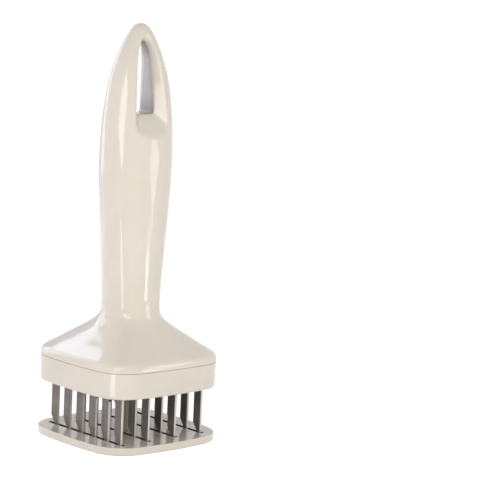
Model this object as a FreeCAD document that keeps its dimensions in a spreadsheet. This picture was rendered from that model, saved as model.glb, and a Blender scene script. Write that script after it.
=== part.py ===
import FreeCAD, Part
import math
import os

import Sketcher
from FreeCAD import Placement, Rotation, Vector

# Hand-held blade meat tenderizer with a spring guard, standing on its guard plate.
# Origin: centre of the guard plate's underside. +Z runs up the handle, the blade rows run along X.

doc = FreeCAD.newDocument("blade_tenderizer")

# ---------------------------------------------------------------- driving dimensions (mm)
SIZES = {
    # guard plate
    "plate_half": 36.0,
    "plate_bulge": 165.0,
    "plate_corner": 16.3,
    "plate_thick": 3.8,
    "plate_top_round": 0.4,
    "plate_foot_round": 1.0,
    "countersink_radius": 3.9,
    "countersink_deep": 1.75,
    "guard_slot_wide": 2.4,
    "guard_slot_half": 28.6,
    "seat_gap": 0.1,
    # skirt under the seam
    "head_half": 35.5,
    "head_bulge": 217.0,
    "head_corner": 16.0,
    "skirt_bottom": 26.4,
    "skirt_top": 38.6,
    "skirt_wall": 2.4,
    "skirt_draft": 0.3,
    "skirt_edge_round": 0.8,
    "floor_bottom": 28.9,
    "floor_top": 31.9,
    "tongue_inset": 1.3,
    "tongue_top": 40.4,
    # shell above the seam
    "seam_gap": 0.08,
    "tongue_gap": 0.35,
    "lip_round": 0.3,
    "shell_wall": 2.6,
    "overall_height": 198.4,
    "bore_radius": 7.2,
    "bore_bottom": 41.8,
    "bore_top": 104.4,
    "core_radius": 5.5,
    "core_top": 136.4,
    "tube_radius": 9.2,
    "hollow_ceiling": 54.6,
    "boss_top": 51.9,
    "boss_pilot_radius": 1.45,
    "boss_pilot_top": 45.4,
    # hanging slot and the recesses round its edge
    "slot_bottom": 156.0,
    "slot_top": 190.2,
    "slot_half": 5.15,
    "slot_corner": 1.7,
    "arch_power": 4.6,
    "arch_taper": 0.19,
    "web_half_low": 5.2,
    "web_half_high": 2.0,
    "recess_reach": 12.0,
    "ramp_drop": 14.0,
    "side_flare": 9.0,
    "crown_rise": 12.0,
    "corner_growth": 2.6,
    "rim_round": 1.0,
    # blade combs
    "blade_pitch": 9.75,
    "row_pitch": 16.2,
    "blade_wide": 5.0,
    "blade_thick": 1.1,
    "tip_level": 0.6,
    "cut_rise": 6.8,
    "gullet_level": 24.1,
    "gullet_round": 1.8,
    "comb_top": 37.9,
    "rail_half": 30.0,
    "tip_bevel": 0.4,
    "comb_gap": 0.2,
    "comb_end_gap": 0.4,
    # rods through the combs
    "rod_radius": 1.5,
    "rod_reach": 27.4,
    "rod_offset": 22.0,
    "rod_level": 34.9,
    "rod_gap": 0.05,
    "spacer_radius": 2.9,
    "push_nut_radius": 2.9,
    "push_nut_thick": 1.2,
    # clamp plate
    "clamp_half": 32.4,
    "clamp_thick": 2.5,
    "clamp_screw_across": 15.0,
    "clamp_screw_along": 28.2,
    "clamp_boss_radius": 2.9,
    "clamp_pilot_radius": 1.05,
    "clamp_pilot_floor": 0.5,
    "clamp_way_gap": 0.5,
    "clamp_screw_way": 1.2,
    # screws that hold the skirt on the shell
    "frame_screw_across": 12.0,
    "frame_boss_radius": 4.0,
    "frame_screw_way": 1.6,
    # guide, post and stop
    "post_radius": 4.5,
    "post_foot": 2.8,
    "post_top": 43.1,
    "post_bore_radius": 2.05,
    "post_bore_low": 13.0,
    "post_bore_high": 12.0,
    "running_gap": 0.06,
    "bush_radius": 6.0,
    "bush_flange": 7.1,
    "bush_bottom": 27.4,
    "bush_top": 41.6,
    "bush_press": 0.05,
    "boss_radius": 7.2,
    "boss_step": 0.2,
    "bumper_radius": 6.8,
    "bumper_gap": 0.3,
    "washer_radius": 6.9,
    "washer_bore": 2.2,
    "washer_thick": 1.5,
    # screws
    "m4_radius": 2.0,
    "sunk_head_radius": 3.6,
    "sunk_head_level": 0.15,
    "sunk_head_deep": 1.6,
    "sunk_length": 13.85,
    "stop_head_radius": 3.7,
    "stop_head_high": 2.4,
    "stop_length": 11.5,
    "clamp_screw_radius": 1.0,
    "clamp_head_radius": 2.1,
    "clamp_head_high": 1.4,
    "clamp_screw_length": 7.0,
    "frame_screw_radius": 1.4,
    "frame_head_radius": 2.8,
    "frame_head_high": 1.7,
    "frame_screw_length": 15.5,
    "screw_point": 1.0,
    "cross_arm": 1.5,
    "cross_slit": 0.4,
    # return spring
    "spring_radius": 5.9,
    "wire_radius": 0.6,
    "spring_turns": 13.0,
    "seat_thick": 1.5,
    "seat_radius": 6.9,
    "seat_nose_radius": 4.9,
    "seat_nose_long": 3.4,
    "seat_nose_taper": 0.8,
}

sheet = doc.addObject("Spreadsheet::Sheet", "sizes")
for row, (alias, value) in enumerate(SIZES.items(), start=1):
    sheet.set("A%d" % row, alias)
    sheet.set("B%d" % row, str(value))
    sheet.setAlias("B%d" % row, alias)
doc.recompute()


def value(expression):
    """Number that an expression on the sheet's cells gives."""
    return float(sheet.evalExpression(expression))


def cell(alias):
    """Expression that names one cell of the sheet."""
    return "sizes." + alias


# ---------------------------------------------------------------- helpers for PartDesign bodies
def new_body(label):
    body = doc.addObject("PartDesign::Body", label)
    body.Label = label
    return body


def new_sketch(body, name, role="XY_Plane", level=None):
    """Sketch on one of the body's own origin planes, lifted along its normal by an expression."""
    sketch = body.newObject("Sketcher::SketchObject", name)
    plane = [feature for feature in body.Origin.OriginFeatures if feature.Role == role][0]
    sketch.AttachmentSupport = [(plane, "")]
    sketch.MapMode = "FlatFace"
    if level:
        sketch.setExpression("AttachmentOffset.Base.z", level)
    return sketch


def pad(body, sketch, length, midplane=False):
    feature = body.newObject("PartDesign::Pad", sketch.Name + "_pad")
    feature.Profile = sketch
    feature.setExpression("Length", length)
    feature.Midplane = midplane
    sketch.Visibility = False
    doc.recompute()
    return feature


def pocket(body, sketch, length, upward=True):
    """Cut a sketch's outline along its normal (upward) or against it, and check that it removes material."""
    before = body.Shape.Volume
    feature = body.newObject("PartDesign::Pocket", sketch.Name + "_pocket")
    feature.Profile = sketch
    feature.setExpression("Length", length)
    feature.Reversed = upward
    doc.recompute()
    if body.Shape.Volume > before - 1e-3:
        raise RuntimeError(feature.Name + " removes nothing")
    return feature


def groove(body, sketch):
    """Turn a half section about the body's Z axis and cut it away."""
    before = body.Shape.Volume
    feature = body.newObject("PartDesign::Groove", sketch.Name + "_groove")
    feature.Profile = sketch
    feature.ReferenceAxis = (sketch, ["V_Axis"])
    feature.Angle = 360.0
    doc.recompute()
    if body.Shape.Volume > before - 1e-3:
        raise RuntimeError(feature.Name + " removes nothing")
    return feature


def edge_names(shape, wanted):
    return ["Edge%d" % n for n, edge in enumerate(shape.Edges, start=1) if wanted(edge)]


def round_edges(body, name, wanted, radius, kind="PartDesign::Fillet"):
    """Fillet or chamfer the edges of the body's tip that pass a test."""
    base = body.Tip
    names = edge_names(base.Shape, wanted)
    if not names:
        raise RuntimeError(name + " finds no edge")
    feature = body.newObject(kind, name)
    feature.Base = (base, names)
    feature.setExpression("Radius" if kind.endswith("Fillet") else "Size", radius)
    doc.recompute()
    return feature


def lies_at(edge, level):
    box = edge.BoundBox
    return abs(box.ZMin - level) < 1e-4 and abs(box.ZMax - level) < 1e-4


def add_plan(sketch, half, bulge, corner):
    """Square with bulging sides and round corners, as eight tangent arcs.

    half: distance from the centre to the middle of each side. bulge: radius of the sides. corner: radius of
    the corners. All three are expressions, and drive the sketch's constraints.
    """
    half_now, bulge_now, corner_now = value(half), value(bulge), value(corner)
    offset = bulge_now - half_now
    reach = bulge_now - corner_now
    corner_at = (math.sqrt(2 * reach ** 2 - offset ** 2) - offset) / 2
    swing = math.atan2(corner_at, corner_at + offset)
    up = Vector(0, 0, 1)
    for side in range(4):
        turn = side * math.pi / 2
        across = Vector(math.cos(turn), math.sin(turn), 0)
        along = Vector(-math.sin(turn), math.cos(turn), 0)
        side_circle = Part.Circle(across * -offset, up, bulge_now)
        corner_circle = Part.Circle((across + along) * corner_at, up, corner_now)
        sketch.addGeometry(Part.ArcOfCircle(side_circle, turn - swing, turn + swing))
        sketch.addGeometry(Part.ArcOfCircle(corner_circle, turn + swing, turn + math.pi / 2 - swing))
    for side in range(4):
        arc = 2 * side
        axis = -1 if side % 2 == 0 else -2
        direction = "DistanceX" if side % 2 == 0 else "DistanceY"
        ends = (arc, 3, -1, 1) if side < 2 else (-1, 1, arc, 3)
        sketch.addConstraint(Sketcher.Constraint("PointOnObject", arc, 3, axis))
        number = sketch.addConstraint(Sketcher.Constraint(direction, *ends, offset))
        sketch.setExpression("Constraints[%d]" % number, "%s - (%s)" % (bulge, half))
        number = sketch.addConstraint(Sketcher.Constraint("Radius", arc, bulge_now))
        sketch.setExpression("Constraints[%d]" % number, bulge)
        number = sketch.addConstraint(Sketcher.Constraint("Radius", arc + 1, corner_now))
        sketch.setExpression("Constraints[%d]" % number, corner)
        sketch.addConstraint(Sketcher.Constraint("Tangent", arc, 2, arc + 1, 1))
        sketch.addConstraint(Sketcher.Constraint("Tangent", arc + 1, 2, (arc + 2) % 8, 1))


def add_circle(sketch, across, along, radius):
    """Circle whose centre and radius are expressions; a centre of None lies on that axis."""
    centre = Vector(value(across) if across else 0, value(along) if along else 0, 0)
    circle = sketch.addGeometry(Part.Circle(centre, Vector(0, 0, 1), value(radius)))
    number = sketch.addConstraint(Sketcher.Constraint("Radius", circle, value(radius)))
    sketch.setExpression("Constraints[%d]" % number, radius)
    for expression, direction, axis in ((across, "DistanceX", -2), (along, "DistanceY", -1)):
        if not expression:
            sketch.addConstraint(Sketcher.Constraint("PointOnObject", circle, 3, axis))
            continue
        place = value(expression)
        ends = (-1, 1, circle, 3) if place > 0 else (circle, 3, -1, 1)
        number = sketch.addConstraint(Sketcher.Constraint(direction, *ends, abs(place)))
        sketch.setExpression("Constraints[%d]" % number, "abs(%s)" % expression)


def add_outline(sketch, corners):
    """Closed outline of straight lines; each corner is a pair of expressions, fixed to the axes."""
    points = [Vector(value(x), value(y), 0) for x, y in corners]
    first = sketch.GeometryCount
    count = len(points)
    for n in range(count):
        sketch.addGeometry(Part.LineSegment(points[n], points[(n + 1) % count]))
    for n in range(count):
        sketch.addConstraint(Sketcher.Constraint("Coincident", first + n, 2, first + (n + 1) % count, 1))
    for n, corner in enumerate(corners):
        for expression, direction, axis in zip(corner, ("DistanceX", "DistanceY"), (-2, -1)):
            place = value(expression)
            if abs(place) < 1e-9:
                sketch.addConstraint(Sketcher.Constraint("PointOnObject", first + n, 1, axis))
                continue
            ends = (-1, 1, first + n, 1) if place > 0 else (first + n, 1, -1, 1)
            number = sketch.addConstraint(Sketcher.Constraint(direction, *ends, abs(place)))
            sketch.setExpression("Constraints[%d]" % number, "abs(%s)" % expression)


def turned_body(label, corners):
    """Solid of revolution about Z; corners are (radius, level) pairs of expressions."""
    body = new_body(label)
    sketch = new_sketch(body, label + "_section", "XZ_Plane")
    add_outline(sketch, corners)
    feature = body.newObject("PartDesign::Revolution", label + "_turned")
    feature.Profile = sketch
    feature.ReferenceAxis = (sketch, ["V_Axis"])
    feature.Angle = 360.0
    doc.recompute()
    return body


pieces = []


def keep(label, piece):
    """Register a finished sub-part; its Label names its file."""
    piece.Label = label
    pieces.append(piece)
    return piece


# ---------------------------------------------------------------- guard plate
# Injection-moulded plate, just under 4 mm thick, with one long slot for each row of blades. The middle has a
# shallow seat for the post on top and a countersink for its screw below.
guard = new_body("guard_plate")
outline = new_sketch(guard, "guard_outline")
add_plan(outline, cell("plate_half"), cell("plate_bulge"), cell("plate_corner"))
pad(guard, outline, cell("plate_thick"))
plate_thick = value(cell("plate_thick"))
round_edges(guard, "guard_foot_edge", lambda edge: lies_at(edge, 0), cell("plate_foot_round"))
round_edges(guard, "guard_top_edge", lambda edge: lies_at(edge, plate_thick), cell("plate_top_round"))
slots = new_sketch(guard, "guard_slots")
for row in range(4):
    middle = "(%g * sizes.row_pitch)" % (row - 1.5)
    low = middle + " - sizes.guard_slot_wide / 2"
    high = middle + " + sizes.guard_slot_wide / 2"
    left = "-sizes.guard_slot_half"
    right = "sizes.guard_slot_half"
    add_outline(slots, [(left, low), (right, low), (right, high), (left, high)])
pocket(guard, slots, cell("plate_thick"))
socket = new_sketch(guard, "guard_socket", "XZ_Plane")
add_outline(
    socket,
    [
        ("0", "0"),
        (cell("countersink_radius"), "0"),
        ("sizes.countersink_radius - sizes.countersink_deep", cell("countersink_deep")),
        ("sizes.countersink_radius - sizes.countersink_deep", cell("post_foot")),
        ("sizes.post_radius + sizes.seat_gap", cell("post_foot")),
        ("sizes.post_radius + sizes.seat_gap", cell("plate_thick")),
        ("0", cell("plate_thick")),
    ],
)
groove(guard, socket)
keep("guard_plate", guard)

# ---------------------------------------------------------------- guide post and its screws
# Plastic post that stands in the plate's seat, runs up through the bush, and carries the stop on top.
low_bore_end = "sizes.post_foot + sizes.post_bore_low"
high_bore_end = "sizes.post_top - sizes.post_bore_high"
post = turned_body(
    "guide_post",
    [
        (cell("post_bore_radius"), cell("post_foot")),
        (cell("post_radius"), cell("post_foot")),
        (cell("post_radius"), cell("post_top")),
        (cell("post_bore_radius"), cell("post_top")),
        (cell("post_bore_radius"), high_bore_end),
        ("0", high_bore_end),
        ("0", low_bore_end),
        (cell("post_bore_radius"), low_bore_end),
    ],
)
keep("guide_post", post)


def negative(expression):
    return expression[1:] if expression.startswith("-") else "-" + expression


def cross_recess(body, name, level, depth, upward):
    """Cut a cross for a driver into a screw's head, from a level, upward or downward."""
    sketch = new_sketch(body, name, level=level)
    arm, slit = cell("cross_arm"), cell("cross_slit")
    quarter = [(slit, slit), (slit, arm), ("-" + slit, arm)]
    corners = []
    for turn in range(4):
        corners += quarter
        quarter = [(negative(y), x) for x, y in quarter]
    add_outline(sketch, corners)
    pocket(body, sketch, depth, upward)


def pan_screw(label, seat, size, length, points_down):
    """Pan-head screw on Z whose head bears on a seat level; size names the shank's and the head's cells."""
    shank, head_radius, head_high = cell(size[0]), cell(size[1]), cell(size[2])
    ahead, behind = ("-", "+") if points_down else ("+", "-")
    screw = turned_body(
        label,
        [
            ("0", "%s %s %s" % (seat, ahead, cell(length))),
            (shank + " / 2", "%s %s %s" % (seat, ahead, cell(length))),
            (shank, "%s %s (%s - sizes.screw_point)" % (seat, ahead, cell(length))),
            (shank, seat),
            (head_radius, seat),
            (head_radius, "%s %s %s * 2 / 3" % (seat, behind, head_high)),
            (head_radius + " * 4 / 5", "%s %s %s" % (seat, behind, head_high)),
            ("0", "%s %s %s" % (seat, behind, head_high)),
        ],
    )
    cross_recess(screw, label + "_cross", "%s %s %s" % (seat, behind, head_high), head_high + " * 3 / 5",
                 not points_down)
    return screw


# Countersunk M4 screw from below; its head lies just inside the plate.
sunk_end = "(sizes.sunk_head_level + sizes.sunk_length)"
post_screw = turned_body(
    "post_screw",
    [
        ("0", cell("sunk_head_level")),
        (cell("sunk_head_radius"), cell("sunk_head_level")),
        (cell("m4_radius"), "sizes.sunk_head_level + sizes.sunk_head_deep"),
        (cell("m4_radius"), sunk_end + " - sizes.screw_point"),
        ("sizes.m4_radius / 2", sunk_end),
        ("0", sunk_end),
    ],
)
cross_recess(post_screw, "post_screw_cross", cell("sunk_head_level"), "sizes.sunk_head_deep * 2 / 3", True)
keep("post_screw", post_screw)

# Steel washer and pan-head screw on top of the post: they stop the guard from dropping out.
washer_top = "(sizes.post_top + sizes.washer_thick)"
stop_washer = turned_body(
    "stop_washer",
    [
        (cell("washer_bore"), cell("post_top")),
        (cell("washer_radius"), cell("post_top")),
        (cell("washer_radius"), washer_top),
        (cell("washer_bore"), washer_top),
    ],
)
keep("stop_washer", stop_washer)
stop_sizes = ("m4_radius", "stop_head_radius", "stop_head_high")
keep("stop_screw", pan_screw("stop_screw", washer_top, stop_sizes, "stop_length", True))

# ---------------------------------------------------------------- bush, bumper, spring and spring seat
# Flanged acetal bush in the middle of the skirt's floor, with a running fit on the post.
bush_bore = "sizes.post_radius + sizes.running_gap"
bush = turned_body(
    "guide_bush",
    [
        (bush_bore, cell("bush_bottom")),
        (cell("bush_flange"), cell("bush_bottom")),
        (cell("bush_flange"), cell("floor_bottom")),
        (cell("bush_radius"), cell("floor_bottom")),
        (cell("bush_radius"), cell("bush_top")),
        (bush_bore, cell("bush_top")),
    ],
)
keep("guide_bush", bush)

# Rubber ring on top of the bush: the stop washer lands on it when the guard springs back.
bumper = turned_body(
    "stop_bumper",
    [
        ("sizes.post_radius + sizes.bumper_gap", cell("bush_top")),
        (cell("bumper_radius"), cell("bush_top")),
        (cell("bumper_radius"), cell("post_top")),
        ("sizes.post_radius + sizes.bumper_gap", cell("post_top")),
    ],
)
keep("stop_bumper", bumper)

# Cap that locates the spring's upper end against the step in the handle's bore.
seat_bottom = "(sizes.bore_top - sizes.seat_thick)"
nose_end = seat_bottom + " - sizes.seat_nose_long"
seat = turned_body(
    "spring_seat",
    [
        ("0", nose_end),
        ("sizes.seat_nose_radius - sizes.seat_nose_taper", nose_end),
        (cell("seat_nose_radius"), nose_end + " + sizes.seat_nose_taper"),
        (cell("seat_nose_radius"), seat_bottom),
        (cell("seat_radius"), seat_bottom),
        (cell("seat_radius"), cell("bore_top")),
        ("0", cell("bore_top")),
    ],
)
keep("spring_seat", seat)

# Compression spring between the stop washer and the seat, both ends ground flat.
coil = doc.addObject("Part::Helix", "spring_path")
coil.LocalCoord = 0
coil.setExpression("Radius", cell("spring_radius"))
coil.setExpression("Pitch", "(%s - %s) / sizes.spring_turns" % (seat_bottom, washer_top))
coil.setExpression("Height", "%s - %s" % (seat_bottom, washer_top))
coil.setExpression("Placement.Base.z", washer_top)
wire = doc.addObject("Part::Circle", "spring_wire")
wire.setExpression("Radius", cell("wire_radius"))
wire.Placement = Placement(Vector(0, 0, 0), Rotation(Vector(1, 0, 0), 90))
wire.setExpression("Placement.Base.x", cell("spring_radius"))
wire.setExpression("Placement.Base.z", washer_top)
swept = doc.addObject("Part::Sweep", "spring_swept")
swept.Sections = [wire]
swept.Spine = (coil, ["Edge1"])
swept.Solid = True
swept.Frenet = True
ground = doc.addObject("Part::Cylinder", "spring_envelope")
ground.setExpression("Radius", "sizes.spring_radius + 2 * sizes.wire_radius")
ground.setExpression("Height", "%s - %s" % (seat_bottom, washer_top))
ground.setExpression("Placement.Base.z", washer_top)
spring = doc.addObject("Part::Common", "return_spring")
spring.Base = swept
spring.Tool = ground
doc.recompute()
keep("return_spring", spring)

# ---------------------------------------------------------------- blade combs
# Four stamped stainless combs. Each has a rail that rests on the skirt's floor, a web that hangs through the
# floor's slot, and six flat blades cut off at a slant to a point on the +X side.
half_blade = "sizes.blade_wide / 2"
blade_centres = ["(%g * sizes.blade_pitch)" % (n - 2.5) for n in range(6)]
web_half = "(2.5 * sizes.blade_pitch + sizes.blade_wide / 2)"
rod_bore = "(sizes.rod_radius + sizes.rod_gap)"


def make_comb(label, row):
    body = new_body(label)
    profile = new_sketch(body, label + "_profile", "XZ_Plane")
    corners = [
        ("-sizes.rail_half", cell("comb_top")),
        ("-sizes.rail_half", cell("floor_top")),
        ("-" + web_half, cell("floor_top")),
    ]
    for centre in blade_centres:
        left = "%s - %s" % (centre, half_blade)
        right = "%s + %s" % (centre, half_blade)
        if centre != blade_centres[0]:
            corners.append((left, cell("gullet_level")))
        corners.append((left, "sizes.tip_level + sizes.cut_rise"))
        corners.append((right, cell("tip_level")))
        if centre != blade_centres[-1]:
            corners.append((right, cell("gullet_level")))
    corners += [
        (web_half, cell("floor_top")),
        ("sizes.rail_half", cell("floor_top")),
        ("sizes.rail_half", cell("comb_top")),
    ]
    add_outline(profile, corners)
    pad(body, profile, cell("blade_thick"), midplane=True)
    gullet_level = value(cell("gullet_level"))
    round_edges(
        body,
        label + "_gullets",
        lambda edge: lies_at(edge, gullet_level) and edge.BoundBox.XLength < 1e-4,
        cell("gullet_round"),
    )
    holes = new_sketch(body, label + "_rod_holes", "XZ_Plane", "-sizes.blade_thick")
    add_circle(holes, "-sizes.rod_offset", cell("rod_level"), rod_bore)
    add_circle(holes, cell("rod_offset"), cell("rod_level"), rod_bore)
    pocket(body, holes, "2 * sizes.blade_thick")
    low, high = value(cell("tip_level")), value("sizes.tip_level + sizes.cut_rise")
    wide = value(cell("blade_wide"))
    round_edges(
        body,
        label + "_ground_tips",
        lambda edge: abs(edge.BoundBox.ZMin - low) < 1e-4
        and abs(edge.BoundBox.ZMax - high) < 1e-4
        and abs(edge.BoundBox.XLength - wide) < 1e-4,
        cell("tip_bevel"),
        "PartDesign::Chamfer",
    )
    body.setExpression("Placement.Base.y", "%g * sizes.row_pitch" % (row - 1.5))
    doc.recompute()
    return body


for row in range(4):
    comb_label = "blade_comb_%d" % (row + 1)
    keep(comb_label, make_comb(comb_label, row))

# ---------------------------------------------------------------- rods, spacers and push nuts
# Two steel rods run across the combs. Tubes keep the combs one row pitch apart, push nuts close the ends.


def along_y(name, radius, start, end, side):
    """Cylinder along Y at a rod's place, from one Y to another."""
    rod = doc.addObject("Part::Cylinder", name)
    rod.setExpression("Radius", radius)
    rod.setExpression("Height", "%s - (%s)" % (end, start))
    rod.Placement = Placement(Vector(0, 0, 0), Rotation(Vector(1, 0, 0), -90))
    rod.setExpression("Placement.Base.x", "%d * sizes.rod_offset" % side)
    rod.setExpression("Placement.Base.y", start)
    rod.setExpression("Placement.Base.z", cell("rod_level"))
    return rod


def hollow(name, radius, bore, start, end, side):
    """Tube along Y at a rod's place."""
    cut = doc.addObject("Part::Cut", name)
    cut.Base = along_y(name + "_outer", radius, start, end, side)
    cut.Tool = along_y(name + "_bore", bore, start, end, side)
    return cut


def group(label, members):
    """Several separate solids of one kind kept as one sub-part."""
    compound = doc.addObject("Part::Compound", label)
    compound.Links = members
    doc.recompute()
    return keep(label, compound)


face = "sizes.blade_thick / 2"
rods, spacers, nuts = [], [], []
for side in (-1, 1):
    tag = "left" if side < 0 else "right"
    rods.append(along_y("rod_" + tag, cell("rod_radius"), "-sizes.rod_reach", cell("rod_reach"), side))
    for gap in range(3):
        start = "%g * sizes.row_pitch + %s" % (gap - 1.5, face)
        end = "%g * sizes.row_pitch - %s" % (gap - 0.5, face)
        tube = "spacer_%s_%d" % (tag, gap)
        spacers.append(hollow(tube, cell("spacer_radius"), rod_bore, start, end, side))
    outer = "1.5 * sizes.row_pitch + " + face
    reach = "(%s + sizes.push_nut_thick)" % outer
    disc = cell("push_nut_radius")
    nuts.append(hollow("nut_%s_back" % tag, disc, rod_bore, outer, reach, side))
    nuts.append(hollow("nut_%s_front" % tag, disc, rod_bore, "-" + reach, "-(%s)" % outer, side))
group("cross_rods", rods)
group("comb_spacers", spacers)
group("rod_push_nuts", nuts)

# ---------------------------------------------------------------- skirt frame
# Moulded band under the seam, a little narrower at its foot. Its floor has a slot for each comb, a boss for
# the bush, bosses for the clamp plate's screws and clearance holes for the screws that go up into the shell.
CORNERS = [(-1, -1), (1, -1), (1, 1), (-1, 1)]
boss_along = cell("row_pitch")


def inset_plan(sketch, inset):
    add_plan(
        sketch,
        "(sizes.head_half - (%s))" % inset,
        "(sizes.head_bulge - (%s))" % inset,
        "(sizes.head_corner - (%s))" % inset,
    )


def add_four(sketch, across, along, radius):
    """Four equal circles at the corners of a rectangle about the origin."""
    for x, y in CORNERS:
        add_circle(sketch, "%d * %s" % (x, across), "%d * %s" % (y, along), radius)


skirt = new_body("skirt_frame")
band = new_sketch(skirt, "skirt_band", level=cell("skirt_bottom"))
inset_plan(band, cell("skirt_draft"))
band_pad = pad(skirt, band, "sizes.skirt_top - sizes.skirt_bottom")
band_pad.setExpression("TaperAngle", "atan(sizes.skirt_draft / (sizes.skirt_top - sizes.skirt_bottom))")
doc.recompute()
skirt_bottom = value(cell("skirt_bottom"))
round_edges(skirt, "skirt_rim", lambda edge: lies_at(edge, skirt_bottom), cell("skirt_edge_round"))
tongue = new_sketch(skirt, "skirt_tongue", level=cell("skirt_top"))
inset_plan(tongue, cell("tongue_inset"))
pad(skirt, tongue, "sizes.tongue_top - sizes.skirt_top")
above = new_sketch(skirt, "skirt_hollow", level=cell("floor_top"))
inset_plan(above, cell("skirt_wall"))
pocket(skirt, above, "sizes.tongue_top - sizes.floor_top")
below = new_sketch(skirt, "skirt_recess", level=cell("skirt_bottom"))
inset_plan(below, cell("skirt_wall"))
pocket(skirt, below, "sizes.floor_bottom - sizes.skirt_bottom")
bosses = new_sketch(skirt, "skirt_clamp_bosses", level=cell("floor_top"))
add_four(bosses, cell("clamp_screw_across"), cell("clamp_screw_along"), cell("clamp_boss_radius"))
pad(skirt, bosses, "sizes.comb_top - sizes.floor_top")
middle_boss = new_sketch(skirt, "skirt_middle_boss", level=cell("floor_bottom"))
add_circle(middle_boss, None, None, cell("boss_radius"))
pad(skirt, middle_boss, "sizes.bush_top - sizes.boss_step - sizes.floor_bottom")
bore = new_sketch(skirt, "skirt_bush_bore", level=cell("floor_bottom"))
add_circle(bore, None, None, "sizes.bush_radius + sizes.bush_press")
pocket(skirt, bore, "sizes.bush_top - sizes.floor_bottom")
floor_cuts = new_sketch(skirt, "skirt_floor_slots", level=cell("floor_bottom"))
cut_half = "(%s + sizes.comb_end_gap)" % web_half
for row in range(4):
    middle = "(%g * sizes.row_pitch)" % (row - 1.5)
    low = middle + " - sizes.blade_thick / 2 - sizes.comb_gap"
    high = middle + " + sizes.blade_thick / 2 + sizes.comb_gap"
    near, far = "-" + cut_half, cut_half
    add_outline(floor_cuts, [(near, low), (far, low), (far, high), (near, high)])
pocket(skirt, floor_cuts, "sizes.floor_top - sizes.floor_bottom")
screw_ways = new_sketch(skirt, "skirt_screw_ways", level=cell("floor_bottom"))
add_four(screw_ways, cell("frame_screw_across"), boss_along, cell("frame_screw_way"))
pocket(skirt, screw_ways, "sizes.floor_top - sizes.floor_bottom")
pilots = new_sketch(skirt, "skirt_clamp_pilots", level="sizes.floor_top + sizes.clamp_pilot_floor")
add_four(pilots, cell("clamp_screw_across"), cell("clamp_screw_along"), cell("clamp_pilot_radius"))
pocket(skirt, pilots, "sizes.comb_top - sizes.floor_top")
keep("skirt_frame", skirt)

# ---------------------------------------------------------------- clamp plate
# Flat plate on top of the combs, with ways for the bush's boss and for the shell's four screw bosses.
clamp = new_body("comb_clamp_plate")
clamp_outline = new_sketch(clamp, "clamp_outline", level=cell("comb_top"))
inset_plan(clamp_outline, "sizes.head_half - sizes.clamp_half")
pad(clamp, clamp_outline, cell("clamp_thick"))
clamp_ways = new_sketch(clamp, "clamp_ways", level=cell("comb_top"))
add_circle(clamp_ways, None, None, "sizes.boss_radius + sizes.clamp_way_gap")
add_four(clamp_ways, cell("frame_screw_across"), boss_along, "sizes.frame_boss_radius + sizes.clamp_way_gap")
add_four(clamp_ways, cell("clamp_screw_across"), cell("clamp_screw_along"), cell("clamp_screw_way"))
pocket(clamp, clamp_ways, cell("clamp_thick"))
keep("comb_clamp_plate", clamp)


# ---------------------------------------------------------------- groups of equal screws
def four_screws(label, screw, across, along):
    """The same screw at the four corners of a rectangle, as one sub-part of four solids."""
    copies = []
    for x, y in CORNERS:
        copy = doc.addObject("Part::Feature", "%s_%d%d" % (label, x + 1, y + 1))
        copy.Shape = screw.Shape.copy()
        copy.Placement = Placement(Vector(x * value(across), y * value(along), 0), Rotation())
        copies.append(copy)
    group(label, copies)


clamp_sizes = ("clamp_screw_radius", "clamp_head_radius", "clamp_head_high")
clamp_top = "(sizes.comb_top + sizes.clamp_thick)"
clamp_screw = pan_screw("clamp_screw", clamp_top, clamp_sizes, "clamp_screw_length", True)
four_screws("clamp_screws", clamp_screw, cell("clamp_screw_across"), cell("clamp_screw_along"))
frame_sizes = ("frame_screw_radius", "frame_head_radius", "frame_head_high")
frame_screw = pan_screw("frame_screw", cell("floor_bottom"), frame_sizes, "frame_screw_length", False)
four_screws("frame_screws", frame_screw, cell("frame_screw_across"), boss_along)

# ---------------------------------------------------------------- handle shell
# One moulding: a rounded-square shoulder that flares in to a slim waist, an oval grip, and a thin rounded
# end with a hanging slot between two recesses.

# Levels of the shoulder's sections: (level, half width, share of the rounded-square plan, 0 = plain oval).
SHOULDER = [
    (40.7, 35.4, 1.0),
    (42.3, 34.7, 1.0),
    (43.6, 33.1, 1.0),
    (45.0, 31.1, 0.98),
    (46.8, 28.6, 0.94),
    (49.4, 25.3, 0.85),
    (52.0, 22.0, 0.7),
    (54.6, 18.8, 0.5),
    (57.0, 16.3, 0.3),
    (58.8, 15.0, 0.15),
    (60.6, 14.4, 0.05),
    (62.6, 14.15, 0.0),
]
# Levels of the grip's sections: (level, mean radius, front-to-back over side-to-side).
GRIP = [
    (65.9, 14.05, 0.95),
    (72.4, 14.15, 0.93),
    (82.4, 14.7, 0.9),
    (95.4, 15.45, 0.87),
    (109.4, 16.25, 0.85),
    (122.4, 16.9, 0.83),
    (133.4, 17.1, 0.8),
    (143.4, 16.85, 0.76),
    (151.4, 16.45, 0.72),
    (159.4, 15.65, 0.68),
    (166.4, 14.7, 0.65),
    (172.9, 13.45, 0.63),
    (178.9, 11.85, 0.62),
    (184.4, 9.95, 0.62),
    (188.9, 8.15, 0.62),
    (192.4, 6.5, 0.64),
    (195.2, 4.85, 0.67),
    (197.1, 3.2, 0.7),
    (198.1, 1.6, 0.75),
]
SECTION_POINTS = 48
HEAD_PLAN = [value(cell(name)) for name in ("head_half", "head_bulge", "head_corner")]
# The mean radius is the half width seen along the diagonal, about 48 degrees from the long face.
DIAGONAL = math.radians(47.75)


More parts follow.
